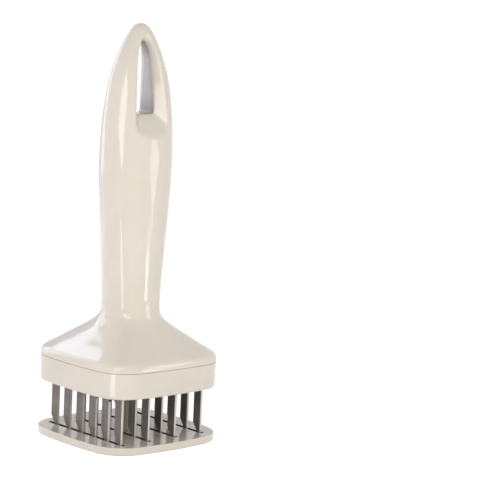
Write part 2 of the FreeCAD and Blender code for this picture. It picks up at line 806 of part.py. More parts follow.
def plan_reach(angle):
    """Distance from the centre to the head's outline in one direction, over its half width."""
    half, bulge, corner = HEAD_PLAN
    folded = abs((angle + math.pi / 4) % (math.pi / 2) - math.pi / 4)
    offset, reach = bulge - half, bulge - corner
    corner_at = (math.sqrt(2 * reach ** 2 - offset ** 2) - offset) / 2
    swing = math.atan2(corner_at, corner_at + offset)
    joint = Vector(bulge * math.cos(swing) - offset, bulge * math.sin(swing), 0)
    if folded < math.atan2(joint.y, joint.x):
        centre, radius = Vector(-offset, 0, 0), bulge
    else:
        centre, radius = Vector(corner_at, corner_at, 0), corner
    ray = Vector(math.cos(folded), math.sin(folded), 0)
    along = ray.dot(centre)
    return (along + math.sqrt(along ** 2 - centre.dot(centre) + radius ** 2)) / half


def section(level, half_x, half_y, share):
    """Closed section of the shell: an oval blended with the head's outline by a share from 0 to 1."""
    points = []
    for n in range(SECTION_POINTS):
        angle = 2 * math.pi * n / SECTION_POINTS
        stretch = 1 + share * (plan_reach(angle) - 1)
        points.append(Vector(half_x * stretch * math.cos(angle), half_y * stretch * math.sin(angle), level))
    curve = Part.BSplineCurve()
    curve.interpolate(points, PeriodicFlag=True)
    return Part.Wire([curve.toShape()])


def oval_halves(mean, aspect):
    """Half thickness (X) and half width (Y) of an oval whose half width along the diagonal is the mean."""
    half_y = mean / math.hypot(aspect * math.cos(DIAGONAL), math.sin(DIAGONAL))
    return aspect * half_y, half_y


def upright(radius, low, high, x=0.0, y=0.0):
    return Part.makeCylinder(radius, high - low, Vector(x, y, low))


# How far the tools that cut a hole reach past the face where it opens.
OVERCUT = 1.0


shell_bottom = value("sizes.skirt_top + sizes.seam_gap")
wall = value(cell("shell_wall"))
head_half = value(cell("head_half"))
sections = [section(shell_bottom, head_half, head_half, 1.0)]
sections += [section(level, half, half, share) for level, half, share in SHOULDER]
sections += [section(level, *oval_halves(mean, aspect), 0.0) for level, mean, aspect in GRIP]
tip = Part.Vertex(0, 0, value(cell("overall_height")))
moulding = Part.makeLoft(sections + [tip], True, False)

# Hollow of the shoulder under a flat ceiling: each section is set in square to the shell's outer surface.
ceiling = value(cell("hollow_ceiling"))
hollow_sections = [section(shell_bottom - wall, head_half - wall, head_half - wall, 1.0)]
rows = [(shell_bottom, head_half, 1.0)] + SHOULDER
for n in range(1, len(rows) - 1):
    slope = Vector(rows[n + 1][1] - rows[n - 1][1], 0, rows[n + 1][0] - rows[n - 1][0]).normalize()
    level, half = rows[n][0] + wall * slope.x, rows[n][1] - wall * slope.z
    if level < ceiling:
        hollow_sections.append(section(level, half, half, rows[n][2]))
moulding = moulding.cut(Part.makeLoft(hollow_sections, True, False))

# Rebate that takes the skirt's tongue, with a little room all round it.
tongue_gap = value(cell("tongue_gap"))
rebate_half = head_half - value(cell("tongue_inset")) + tongue_gap
rebate = Part.Face(section(shell_bottom - wall, rebate_half, rebate_half, 1.0))
rebate_top = value(cell("tongue_top")) + tongue_gap
moulding = moulding.cut(rebate.extrude(Vector(0, 0, rebate_top - shell_bottom + wall)))

# Spring tube and four screw bosses under the ceiling, then the bore for the spring and the core above it.
bore_bottom = value(cell("bore_bottom"))
bore_top = value(cell("bore_top"))
floor_top = value(cell("floor_top"))
moulding = moulding.fuse(upright(value(cell("tube_radius")), bore_bottom, ceiling + wall))
for x, y in CORNERS:
    boss_at = (x * value(cell("frame_screw_across")), y * value(boss_along))
    boss = upright(value(cell("frame_boss_radius")), floor_top, value(cell("boss_top")), *boss_at)
    pilot_top = value(cell("boss_pilot_top"))
    pilot = upright(value(cell("boss_pilot_radius")), floor_top - OVERCUT, pilot_top, *boss_at)
    moulding = moulding.fuse(boss).cut(pilot)
moulding = moulding.cut(upright(value(cell("bore_radius")), bore_bottom - OVERCUT, bore_top))
moulding = moulding.cut(upright(value(cell("core_radius")), bore_top - OVERCUT, value(cell("core_top"))))

# Hanging slot through the thin end: a flat sill with small round corners under a pointed arch. On both faces
# its edge opens into a recess, with a flat thumb ramp below the sill and sloping cheeks beside the slot.
ARCH_STEPS = 12
CORNER_STEPS = 6
# The recess is cut from a little inside the slot's edge, so that no wall is left between the two.
INSIDE_SLOT = -0.2


def slot_wire(part, flat=False):
    """Outline of the slot's front edge (part 0), or of the recess further out (up to part 1).

    It leans back towards the crown, or is laid flat in the plane X = 0.
    """
    half = value("sizes.slot_half + %g * sizes.side_flare" % part)
    corner = value("sizes.slot_corner + %g * sizes.corner_growth" % part)
    sill = value("sizes.slot_bottom - %g * sizes.ramp_drop" % part)
    crown = value("sizes.slot_top + %g * sizes.crown_rise" % part)
    low = value("sizes.web_half_low + %g * sizes.recess_reach" % part)
    high = value("sizes.web_half_high + %g * sizes.recess_reach" % part)
    power, taper = value(cell("arch_power")), value(cell("arch_taper"))
    spring_line = sill + corner

    def lies(across, level):
        depth = 0 if flat else low + (high - low) * (level - sill) / (crown - sill)
        return Vector(depth, across, level)

    arch = []
    for n in range(-ARCH_STEPS, ARCH_STEPS + 1):
        rise = math.cos(math.pi / 2 * n / ARCH_STEPS)
        across = half * math.sqrt(max(0.0, 1 - rise ** power)) * (1 - taper * rise)
        arch.append(lies(math.copysign(across, -n), spring_line + (crown - spring_line) * rise))
    turns = [math.pi / 2 * n / CORNER_STEPS for n in range(CORNER_STEPS + 1)]
    right = [lies(half - corner * (1 - math.sin(t)), spring_line - corner * math.cos(t)) for t in turns]
    left = [Vector(point.x, -point.y, point.z) for point in reversed(right)]
    edges = [Part.LineSegment(left[-1], right[0]).toShape()]
    for points in (right, arch, left):
        curve = Part.BSplineCurve()
        curve.interpolate(points)
        edges.append(curve.toShape())
    return Part.Wire(edges)


through = Part.Face(slot_wire(0, flat=True)).extrude(Vector(value("2 * sizes.web_half_low"), 0, 0))
recess = Part.makeLoft([slot_wire(INSIDE_SLOT), slot_wire(1)], True, True)
for half_cut in (through, recess):
    moulding = moulding.cut(half_cut).cut(half_cut.mirror(Vector(0, 0, 0), Vector(1, 0, 0)))


def on_rim(edge):
    """True for the recesses' outer rims and the corners of their ramps, false for the shell's own seams."""
    box = edge.BoundBox
    outside = max(box.XMax, -box.XMin) > value("sizes.web_half_low + sizes.rim_round / 2")
    above_ramp = box.ZMin > value("sizes.slot_bottom - sizes.ramp_drop")
    below_tip = box.ZMax < value("sizes.overall_height - sizes.rim_round")
    on_seam = max(box.YMax, -box.YMin) < 0.001
    return outside and above_ramp and below_tip and not on_seam


def on_lip(edge):
    """True for the outer lower edge of the shell, along the seam."""
    return lies_at(edge, shell_bottom) and edge.BoundBox.XMax > head_half - value(cell("lip_round"))


moulding = moulding.removeSplitter().Solids[0]
rim = [edge for edge in moulding.Edges if on_rim(edge)]
moulding = moulding.makeFillet(value(cell("rim_round")), rim)
lip = [edge for edge in moulding.Edges if on_lip(edge)]
shell = doc.addObject("Part::Feature", "handle_shell")
shell.Shape = moulding.makeFillet(value(cell("lip_round")), lip)
shell.Placement = Placement(Vector(0, 0, 0), Rotation())
keep("handle_shell", shell)

# ---------------------------------------------------------------- check and export
doc.recompute()
for item in doc.Objects:
    if "Invalid" in item.State or "Error" in item.State:
        raise RuntimeError("%s is %s" % (item.Name, item.State))
os.makedirs("parts", exist_ok=True)
for piece in pieces:
    shape = piece.Shape
    if shape.isNull() or not shape.isValid():
        raise RuntimeError(piece.Label + " has no valid shape")
    box = shape.BoundBox
    print("%-18s solids %2d volume %9.1f  z %.2f to %.2f" % (
        piece.Label, len(shape.Solids), shape.Volume, box.ZMin, box.ZMax))
    shape.exportStep("parts/%s.step" % piece.Label)
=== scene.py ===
import math

import bmesh
import bpy
import numpy as np
from mathutils import Matrix, Vector


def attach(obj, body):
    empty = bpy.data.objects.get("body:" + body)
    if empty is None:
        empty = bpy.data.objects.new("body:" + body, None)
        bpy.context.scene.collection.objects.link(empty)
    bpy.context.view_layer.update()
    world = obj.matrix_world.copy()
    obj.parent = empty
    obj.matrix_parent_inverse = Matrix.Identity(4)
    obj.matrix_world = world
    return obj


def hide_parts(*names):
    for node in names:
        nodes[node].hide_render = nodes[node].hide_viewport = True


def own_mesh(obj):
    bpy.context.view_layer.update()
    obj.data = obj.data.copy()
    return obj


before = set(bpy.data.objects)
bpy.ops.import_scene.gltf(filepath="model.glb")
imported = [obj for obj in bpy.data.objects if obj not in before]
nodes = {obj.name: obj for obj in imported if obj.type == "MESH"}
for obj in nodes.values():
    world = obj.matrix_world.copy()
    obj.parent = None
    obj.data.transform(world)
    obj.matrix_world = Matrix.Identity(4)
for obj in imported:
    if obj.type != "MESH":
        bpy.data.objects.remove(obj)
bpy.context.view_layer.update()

# ---------------------------------------------------------------- camera
# It stands a metre away and a quarter of a metre above the table, and looks at the corner between the
# blade rows' ends and their long side. The tool stands left of the line of sight, and the camera leans.
turn, climb, lean = math.radians(47.748), math.radians(8.401), math.radians(2.599)
backward = Vector((math.sin(turn) * math.cos(climb), -math.cos(turn) * math.cos(climb), math.sin(climb)))
rightward = Vector((math.cos(turn), math.sin(turn), 0))
upward = backward.cross(rightward)
grip_middle = Vector((0, 0, 0.1004))
aside, lowered = 0.0510, 0.0028
camera = bpy.data.objects.new("camera", bpy.data.cameras.new("camera"))
bpy.context.scene.collection.objects.link(camera)
camera.data.sensor_width = 36.0
camera.data.lens = 157.5
camera_x = math.cos(lean) * rightward + math.sin(lean) * upward
camera_y = math.cos(lean) * upward - math.sin(lean) * rightward
camera_axes = Matrix((camera_x, camera_y, backward)).transposed()
camera.matrix_world = Matrix.Translation(
    grip_middle + backward + rightward * aside - upward * lowered
) @ camera_axes.to_4x4()
bpy.context.scene.camera = camera

# ---------------------------------------------------------------- table, surround and lamps
# A white table top under a white surround. A tall cool window and a wider, weaker one beside it stand behind
# the left shoulder; three boxes and two lit cards on the table draw the long reflections. A grey flag before
# one half of the window, out of the camera's sight, darkens the far edge of the shoulder.


def new_material(name):
    material = bpy.data.materials.new(name)
    material.use_nodes = True
    tree = material.node_tree
    return material, tree, tree.nodes["Principled BSDF"]


def arithmetic(tree, operation, first, second=0.0):
    """Result of one operation on two values, each of them a socket or a number."""
    node = tree.nodes.new("ShaderNodeMath")
    node.operation = operation
    for socket, given in zip(node.inputs, (first, second)):
        if isinstance(given, float):
            socket.default_value = given
        else:
            tree.links.new(given, socket)
    return node.outputs[0]


def seen_directly(tree):
    """1 for rays from the camera, from a reflection or through glass, 0 for rays that light a surface."""
    rays = tree.nodes.new("ShaderNodeLightPath").outputs
    seen = arithmetic(tree, "MAXIMUM", rays["Is Camera Ray"], rays["Is Glossy Ray"])
    return arithmetic(tree, "MAXIMUM", seen, rays["Is Transmission Ray"])


# The table is so wide that its edge is never seen, and it glows up to the surround's white.
table_reach, table_glow = 15, 0.52
table_sides = [(-1, -1), (1, -1), (1, 1), (-1, 1)]
table_corners = [(x * table_reach, y * table_reach, 0) for x, y in table_sides]
table_mesh = bpy.data.meshes.new("table_top")
table_mesh.from_pydata(table_corners, [], [(0, 1, 2, 3)])
table_top = bpy.data.objects.new("table_top", table_mesh)
bpy.context.scene.collection.objects.link(table_top)
table_white, tree, shader = new_material("table_white")
shader.inputs["Base Color"].default_value = (0.9, 0.9, 0.9, 1)
shader.inputs["Roughness"].default_value = 0.9
shader.inputs["Specular IOR Level"].default_value = 0.1
shader.inputs["Emission Color"].default_value = (1, 1, 1, 1)
glow = arithmetic(tree, "MULTIPLY", seen_directly(tree), table_glow)
tree.links.new(glow, shader.inputs["Emission Strength"])
table_mesh.materials.append(table_white)

# The surround lights the tool more from the horizon than from overhead. Where it is seen, it is white.
at_horizon, overhead, overhead_from = 0.95, 0.41, 0.9
world = bpy.data.worlds.new("surround")
bpy.context.scene.world = world
world.use_nodes = True
tree = world.node_tree
background = tree.nodes["Background"]
direction = tree.nodes.new("ShaderNodeTexCoord")
axes = tree.nodes.new("ShaderNodeSeparateXYZ")
tree.links.new(direction.outputs["Generated"], axes.inputs[0])
height = tree.nodes.new("ShaderNodeMapRange")
height.inputs["From Min"].default_value = 0.0
height.inputs["From Max"].default_value = overhead_from
height.inputs["To Min"].default_value = at_horizon
height.inputs["To Max"].default_value = overhead
tree.links.new(axes.outputs["Z"], height.inputs["Value"])
background.inputs["Color"].default_value = (1, 1, 1, 1)
shown = tree.nodes.new("ShaderNodeMix")
shown.data_type = "FLOAT"
tree.links.new(seen_directly(tree), shown.inputs[0])
tree.links.new(height.outputs[0], shown.inputs[2])
shown.inputs[3].default_value = 1.0
tree.links.new(shown.outputs[0], background.inputs["Strength"])


def soft_box(name, stands, aims, width, tall, brightness, colour=(1, 1, 1), roll=0):
    """Rectangular lamp that stands at one point, aims at another and rolls by so many degrees about its aim.

    Its power is its brightness times pi times its area, so a box keeps its brightness at any size.
    """
    data = bpy.data.lights.new(name, "AREA")
    data.shape = "RECTANGLE"
    data.size, data.size_y = width, tall
    data.energy = brightness * math.pi * width * tall
    data.color = colour
    lamp = bpy.data.objects.new(name, data)
    bpy.context.scene.collection.objects.link(lamp)
    aim = (Vector(aims) - Vector(stands)).to_track_quat("-Z", "Y").to_matrix()
    face = aim @ Matrix.Rotation(math.radians(roll), 3, "Z")
    lamp.matrix_world = Matrix.Translation(stands) @ face.to_4x4()


soft_box("window", (-0.526, -0.006, 0.333), (0, 0, 0.073), 0.125, 0.39, 3.0, (0.82, 0.93, 1.22))
soft_box("side_window", (-0.537, -0.208, 0.3), (-0.02, -0.02, 0.3), 0.25, 0.52, 1.75, (0.93, 0.98, 1.12))
soft_box("left_box", (0.214, -0.264, 0.205), (0, 0, 0.15), 0.1, 0.25, 4.1, roll=-44)
soft_box("right_box", (0.282, 0.190, 0.115), (0, 0, 0.115), 0.115, 0.125, 2.7, roll=-40)
soft_box("low_box", (0.249, 0.113, 0.019), (0.035, -0.012, 0.019), 0.036, 0.034, 4.4)
soft_box("left_card", (0.118, -0.248, 0.001), (0.118, -0.248, 1), 0.036, 0.27, 3.7, roll=-25)
soft_box("right_card", (0.318, 0.169, 0.001), (0.318, 0.169, 1), 0.3, 0.085, 1.9, roll=-28)

flag_corners = [
    (-0.496, -0.012, 0.07), (-0.441, 0.235, 0.04), (-0.483, 0.129, 0.34), (-0.496, -0.012, 0.375),
]
flag_mesh = bpy.data.meshes.new("grey_flag")
flag_mesh.from_pydata(flag_corners, [], [(0, 1, 2, 3)])
grey_flag = bpy.data.objects.new("grey_flag", flag_mesh)
bpy.context.scene.collection.objects.link(grey_flag)
flag_grey, tree, shader = new_material("flag_grey")
shader.inputs["Base Color"].default_value = (0.72, 0.77, 0.94, 1)
shader.inputs["Roughness"].default_value = 0.9
flag_mesh.materials.append(flag_grey)
grey_flag.visible_camera = False

bpy.context.scene.view_settings.view_transform = "Standard"


def dress(names, material):
    """Gives the solids of these names their material."""
    for name in names:
        mesh = nodes[name].data
        mesh.materials.clear()
        mesh.materials.append(material)


def noise(tree, blobs, stretch=(1, 1, 1), detail=3.0, roughness=0.5):
    """Noise in the object's own coordinates: so many blobs a metre, times the stretch along each axis."""
    place = tree.nodes.new("ShaderNodeTexCoord")
    mapping = tree.nodes.new("ShaderNodeMapping")
    mapping.inputs["Scale"].default_value = stretch
    tree.links.new(place.outputs["Object"], mapping.inputs["Vector"])
    texture = tree.nodes.new("ShaderNodeTexNoise")
    texture.inputs["Scale"].default_value = blobs
    texture.inputs["Detail"].default_value = detail
    texture.inputs["Roughness"].default_value = roughness
    tree.links.new(mapping.outputs[0], texture.inputs["Vector"])
    return texture.outputs["Fac"]


def between(tree, amount, low, high):
    """Ramp from one colour, or one number, to another, by an amount that noise spreads about a half."""
    if isinstance(low, float):
        ramp = tree.nodes.new("ShaderNodeMapRange")
        ramp.inputs["From Min"].default_value, ramp.inputs["From Max"].default_value = 0.3, 0.7
        ramp.inputs["To Min"].default_value, ramp.inputs["To Max"].default_value = low, high
        tree.links.new(amount, ramp.inputs["Value"])
        return ramp.outputs[0]
    ramp = tree.nodes.new("ShaderNodeMix")
    ramp.data_type = "RGBA"
    ramp.inputs[6].default_value, ramp.inputs[7].default_value = (*low, 1), (*high, 1)
    tree.links.new(between(tree, amount, 0.0, 1.0), ramp.inputs[0])
    return ramp.outputs[2]


def bump(tree, shader, height, depth):
    """Adds a relief of so many metres on top of the shader's normal."""
    relief = tree.nodes.new("ShaderNodeBump")
    relief.inputs["Distance"].default_value = depth
    relief.inputs["Strength"].default_value = 1.0
    tree.links.new(height, relief.inputs["Height"])
    normal = shader.inputs["Normal"]
    if normal.is_linked:
        tree.links.new(normal.links[0].from_socket, relief.inputs["Normal"])
    tree.links.new(relief.outputs[0], normal)


def moulded_plastic(name, low, high, gloss):
    """Injection-moulded plastic: clouded colour, upright scuffs in the gloss, sink ripples and fine grain."""
    clouds, scuffs, ripples, grain = 60, 260, 45, 2600
    ripple_depth, grain_depth = 0.00004, 0.0000022
    material, tree, shader = new_material(name)
    tree.links.new(between(tree, noise(tree, clouds), low, high), shader.inputs["Base Color"])
    scuffed = noise(tree, scuffs, (1, 1, 0.25), 5.0, 0.65)
    tree.links.new(between(tree, scuffed, gloss * 0.82, gloss * 1.2), shader.inputs["Roughness"])
    shader.inputs["IOR"].default_value = 1.52
    bump(tree, shader, noise(tree, ripples, detail=1.0), ripple_depth)
    bump(tree, shader, noise(tree, grain, detail=2.0), grain_depth)
    return material


def tint(tree, shader, amount, colour):
    """Draws the base colour towards another one, by an amount from 0 to 1."""
    mix = tree.nodes.new("ShaderNodeMix")
    mix.data_type = "RGBA"
    mix.inputs[7].default_value = (*colour, 1)
    base = shader.inputs["Base Color"]
    tree.links.new(base.links[0].from_socket, mix.inputs[6])
    tree.links.new(amount, mix.inputs[0])
    tree.links.new(mix.outputs[2], base)


def object_axes(tree, output):
    """X, Y and Z of the object's own position or normal."""
    axes = tree.nodes.new("ShaderNodeSeparateXYZ")
    place = tree.nodes.new("ShaderNodeTexCoord")
    tree.links.new(place.outputs[output], axes.inputs[0])
    return axes.outputs


guard_cream = moulded_plastic("guard_cream", (0.765, 0.70, 0.60), (0.80, 0.735, 0.64), 0.12)
tree = guard_cream.node_tree
shader = tree.nodes["Principled BSDF"]

# The rows lie half a pitch and one and a half pitches from the middle. Folded about one pitch, all of them
# lie half a pitch away. The band round each is a hair wider than the slot, so it takes in the slot's walls.
row_pitch, band_half_width, band_half_length = 0.0162, 0.00128, 0.0287
across = arithmetic(tree, "ABSOLUTE", object_axes(tree, "Object")["Y"])
folded = arithmetic(tree, "ABSOLUTE", arithmetic(tree, "SUBTRACT", across, row_pitch))
from_row = arithmetic(tree, "ABSOLUTE", arithmetic(tree, "SUBTRACT", folded, row_pitch / 2))
in_row = arithmetic(tree, "LESS_THAN", from_row, band_half_width)
along = arithmetic(tree, "ABSOLUTE", object_axes(tree, "Object")["X"])
plate_slot_shade = arithmetic(tree, "MULTIPLY", in_row, arithmetic(tree, "LESS_THAN", along, band_half_length))
# Painted shade: the bands round the rows darken the slots and their walls near black.
tint(tree, shader, plate_slot_shade, (0.10, 0.085, 0.07))
# Painted shade and painted reflection: the top face, under the head and among the blades, is darkened in
# noisy blotches.
top_face = arithmetic(tree, "GREATER_THAN", object_axes(tree, "Normal")["Z"], 0.9)
top_face_shade = between(tree, noise(tree, 170, (0.5, 1, 1), 4.0, 0.6), 0.3, 0.8)
tint(tree, shader, arithmetic(tree, "MULTIPLY", top_face, top_face_shade), (0.40, 0.35, 0.30))
dress(["guard_plate"], guard_cream)

# ---------------------------------------------------------------- guide post and its screws
# Beige plastic post that stands in the plate's seat; its beige, darker than the cream parts, is painted shade
# from the blades round it. A countersunk screw holds it from below; a washer and a pan-head screw on top stop
# the guard from dropping out. The screws are zinc-plated steel.
post_shaded_beige = moulded_plastic("post_shaded_beige", (0.60, 0.54, 0.40), (0.66, 0.60, 0.46), 0.38)
dress(["guide_post"], post_shaded_beige)


def metal(name, low, high, gloss, lines, stretch, depth):
    """Metal with grinding or drawing lines.

    The same noise, so many lines a metre, sets its tone, its gloss and its fine relief; the tone is the mean
    of the lines and of broad patches.
    """
    material, tree, shader = new_material(name)
    shader.inputs["Metallic"].default_value = 1.0
    grain = noise(tree, lines, stretch, 4.0, 0.6)
    patches = noise(tree, 90, detail=2.0)
    tone = arithmetic(tree, "MULTIPLY", arithmetic(tree, "ADD", grain, patches), 0.5)
    tree.links.new(between(tree, tone, low, high), shader.inputs["Base Color"])
    tree.links.new(between(tree, grain, gloss * 0.8, gloss * 1.25), shader.inputs["Roughness"])
    bump(tree, shader, grain, depth)
    return material


zinc = metal("zinc_plate", (0.60, 0.61, 0.63), (0.72, 0.72, 0.70), 0.32, 700, (1, 1, 1), 0.000006)
dress(["post_screw", "stop_washer", "stop_screw"], zinc)

# ---------------------------------------------------------------- bush, bumper and spring seat
# Flanged white acetal bush in the middle of the skirt's floor, which the post runs in; the black rubber
# ring on top of it, which the stop washer lands on; and the acetal cap at the spring's upper end.
acetal = moulded_plastic("acetal", (0.80, 0.80, 0.78), (0.86, 0.86, 0.84), 0.42)
dress(["guide_bush", "spring_seat"], acetal)
bumper_rubber = moulded_plastic("bumper_rubber", (0.018, 0.018, 0.018), (0.035, 0.034, 0.033), 0.7)
dress(["stop_bumper"], bumper_rubber)

# ---------------------------------------------------------------- return spring
# Coil of drawn steel wire, ground flat at both ends, between the stop washer and the seat in the grip. It
# closes up as the guard rises.
MM = 0.001
SPRING = {"radius": 5.9, "wire": 0.6, "low": 44.6, "high": 102.9, "turns": 13, "sides": 12, "steps": 26}


def quads(rows, columns, wrap):
    """Corner numbers of the faces between the rows and columns of a grid of points."""
    column = np.arange(columns if wrap else columns - 1)
    start = np.arange(rows - 1)[:, None] * columns
    after = (column + 1) % columns
    corners = [start + column, start + after, start + after + columns, start + column + columns]
    return np.stack(corners, -1).reshape(-1, 4)


def add_piece(name, grids, material, part_of):
    """One mesh from grids of points in millimetres; each comes with whether its columns wrap round.

    Points closer together than the merge distance, in metres, become one, and the faces are turned outwards.
    """
    merge = 0.000002
    points, faces, count = [], [], 0
    for grid, wrap in grids:
        rows, columns = grid.shape[:2]
        points.append(grid.reshape(-1, 3))
        faces.append(quads(rows, columns, wrap) + count)
        count += rows * columns
    mesh = bpy.data.meshes.new(name)
    mesh.from_pydata((np.vstack(points) * MM).tolist(), [], np.vstack(faces).tolist())
    shape = bmesh.new()
    shape.from_mesh(mesh)
    bmesh.ops.remove_doubles(shape, verts=shape.verts, dist=merge)
    bmesh.ops.dissolve_degenerate(shape, edges=shape.edges, dist=merge / 2)
    bmesh.ops.recalc_face_normals(shape, faces=shape.faces)
    shape.to_mesh(mesh)
    shape.free()
    mesh.shade_smooth()
    mesh.materials.append(material)
    piece = bpy.data.objects.new(name, mesh)
    bpy.context.scene.collection.objects.link(piece)
    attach(piece, part_of)
    return piece


def coil(radius, wire, low, high, turns, sides, steps):
    """Wire of a coil spring: a circle carried along a helix, at right angles to it, cut flat at both ends.

    The helix turns at the given radius and rises evenly. The circle lies in the plane of the outward
    direction and of the helix's own normal, which leans back by the helix's angle. Both ends close on the
    wire's middle.
    """
    turned = np.linspace(0, 2 * math.pi * turns, turns * steps + 1)[:, None]
    around = np.linspace(0, 2 * math.pi, sides, endpoint=False)[None, :]
    rise = (high - low) / (2 * math.pi * turns)
    lean_back = math.atan2(rise, radius)
    turned = np.concatenate([turned[:1], turned, turned[-1:]])
    size = np.full(turned.shape, wire)
    size[[0, -1]] = 0
    out = radius + size * np.cos(around)
    up = size * np.sin(around)
    x = out * np.cos(turned) + up * math.sin(lean_back) * np.sin(turned)
    y = out * np.sin(turned) - up * math.sin(lean_back) * np.cos(turned)
    z = np.clip(low + rise * turned + up * math.cos(lean_back), low, high)
    return np.stack([x, y, z], -1)


dull_wire, bright_wire = (0.42, 0.42, 0.42), (0.55, 0.55, 0.54)
spring_wire = metal("spring_wire", dull_wire, bright_wire, 0.34, 1800, (0.2, 0.2, 1), 0.000004)
spring = add_piece("spring", [(coil(**SPRING), True)], spring_wire, "handle")
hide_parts("return_spring")
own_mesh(spring)

# ---------------------------------------------------------------- blade combs
# Four combs stamped from stainless sheet, six flat blades each, cut at a slant to a point. Both faces are
# ground lengthwise, with fine lines up and down, dark from use and darker still with painted shade from the
# head over them; the sheared narrow sides are bright.
shaded_dark_face, shaded_worn_face = (0.085, 0.072, 0.062), (0.255, 0.225, 0.198)
blade_steel = metal("blade_steel", shaded_dark_face, shaded_worn_face, 0.34, 1500, (1, 1, 0.02), 0.000006)
tree = blade_steel.node_tree
shader = tree.nodes["Principled BSDF"]
shader.inputs["Metallic"].default_value = 0.35
facing = object_axes(tree, "Normal")
narrow_side = arithmetic(tree, "GREATER_THAN", arithmetic(tree, "ABSOLUTE", facing["X"]), 0.7)
tint(tree, shader, narrow_side, (0.62, 0.59, 0.54))
# Painted shade: the slanted cuts face down and are painted near black.
downward_cut_shade = arithmetic(tree, "LESS_THAN", facing["Z"], -0.15)
tint(tree, shader, downward_cut_shade, (0.045, 0.038, 0.030))
dress(["blade_comb_%d" % row for row in (1, 2, 3, 4)], blade_steel)

# ---------------------------------------------------------------- rods, spacers, push nuts and clamp plate
# Zinc-plated rods through the combs with acetal tubes between them, and a flat acetal plate with its screws
# on top. The skirt and the shell close over them.
dress(["comb_spacers", "comb_clamp_plate"], acetal)
dress(["cross_rods", "rod_push_nuts", "clamp_screws", "frame_screws"], zinc)

# ---------------------------------------------------------------- skirt frame
# Band of cream plastic under the seam, with a floor that the blades hang through. It is moulded on its own
# and screwed up into the shell.
head_cream = moulded_plastic("head_cream", (0.755, 0.685, 0.585), (0.79, 0.72, 0.62), 0.09)
dress(["skirt_frame"], head_cream)

# ---------------------------------------------------------------- handle shell
# One hollow moulding of the same cream plastic: square shoulder, slim waist, oval grip and a thin end with
# a hanging slot and a sloping recess round it on each face. Its lower edge is a soft lip along the seam.

# Sections of the outside: level, half width, share of the rounded square (0 is a plain circle).
shoulder = np.array([
    (38.68, 35.5, 1.0), (40.7, 35.4, 1.0), (42.3, 34.7, 1.0), (43.6, 33.1, 1.0), (45.0, 31.1, 0.98),
    (46.8, 28.6, 0.94), (49.4, 25.3, 0.85), (52.0, 22.0, 0.7), (54.6, 18.8, 0.5), (57.0, 16.3, 0.3),
    (58.8, 15.0, 0.15), (60.6, 14.4, 0.05), (62.6, 14.15, 0.0),
])
# Sections of the grip: level, half width along the diagonal, thickness over width.
grip = np.array([
    (65.9, 14.05, 0.95), (72.4, 14.15, 0.93), (82.4, 14.7, 0.9), (95.4, 15.45, 0.87), (109.4, 16.25, 0.85),
    (122.4, 16.9, 0.83), (133.4, 17.1, 0.8), (143.4, 16.85, 0.76), (151.4, 16.45, 0.72), (159.4, 15.65, 0.68),
    (166.4, 14.7, 0.65), (172.9, 13.45, 0.63), (178.9, 11.85, 0.62), (184.4, 9.95, 0.62), (188.9, 8.15, 0.62),
    (192.4, 6.5, 0.64), (195.2, 4.85, 0.67), (197.1, 3.2, 0.7), (198.1, 1.6, 0.75), (198.4, 0.0, 0.75),
])
HANDLE_TOP = grip[-1, 0]
# An oval b wide and t times b thick reaches b times the root of (t cos)^2 + sin^2 along a direction.
diagonal = math.radians(47.75)
grip_half_y = grip[:, 1] / np.hypot(grip[:, 2] * math.cos(diagonal), math.sin(diagonal))
outside = np.vstack([
    np.column_stack([shoulder[:, 0], shoulder[:, 1], shoulder[:, 1], shoulder[:, 2]]),
    np.column_stack([grip[:, 0], grip[:, 2] * grip_half_y, grip_half_y, np.zeros(len(grip))]),
])


def spline(knots, values, at):
    """Natural cubic spline: on each span a straight line plus cubic terms that carry the curvature at its
    ends, with the curvatures chosen so that slopes meet at every knot and vanish at both ends."""
    span = np.diff(knots)[:, None]
    slope = np.diff(values, axis=0) / span
    system = np.eye(len(knots))
    right = np.zeros_like(values)
    inner = np.arange(1, len(knots) - 1)
    system[inner, inner - 1] = span[:-1, 0]
    system[inner, inner] = 2 * (span[:-1, 0] + span[1:, 0])
    system[inner, inner + 1] = span[1:, 0]
    right[inner] = 6 * np.diff(slope, axis=0)
    curvature = np.linalg.solve(system, right)
    n = np.clip(np.searchsorted(knots, at, side="right") - 1, 0, len(knots) - 2)
    step = span[n]
    after = (at - knots[n])[:, None]
    before = step - after
    return (
        (curvature[n] * before ** 3 + curvature[n + 1] * after ** 3) / (6 * step)
        + (values[n] / step - curvature[n] * step / 6) * before
        + (values[n + 1] / step - curvature[n + 1] * step / 6) * after
    )


# The outside is drawn along the length of its own profile, and looked up by level in a fine copy.
FINE_ROWS = 6000
profile_steps = np.hypot(np.diff(outside[:, 0]), np.diff(outside[:, 2]))
profile = np.concatenate([[0], np.cumsum(profile_steps)])
fine = np.linspace(0, profile[-1], FINE_ROWS)
fine_rows = spline(profile, outside, fine)
fine_rows[:, 1:3] = np.maximum(fine_rows[:, 1:3], 0)
fine_level, fine_half_x, fine_half_y = fine_rows[:, 0], fine_rows[:, 1], fine_rows[:, 2]

# Half width of the head, and the radius of the arcs of its sides and of its corners.
HEAD_HALF, HEAD_BULGE, HEAD_CORNER = 35.5, 217.0, 16.0


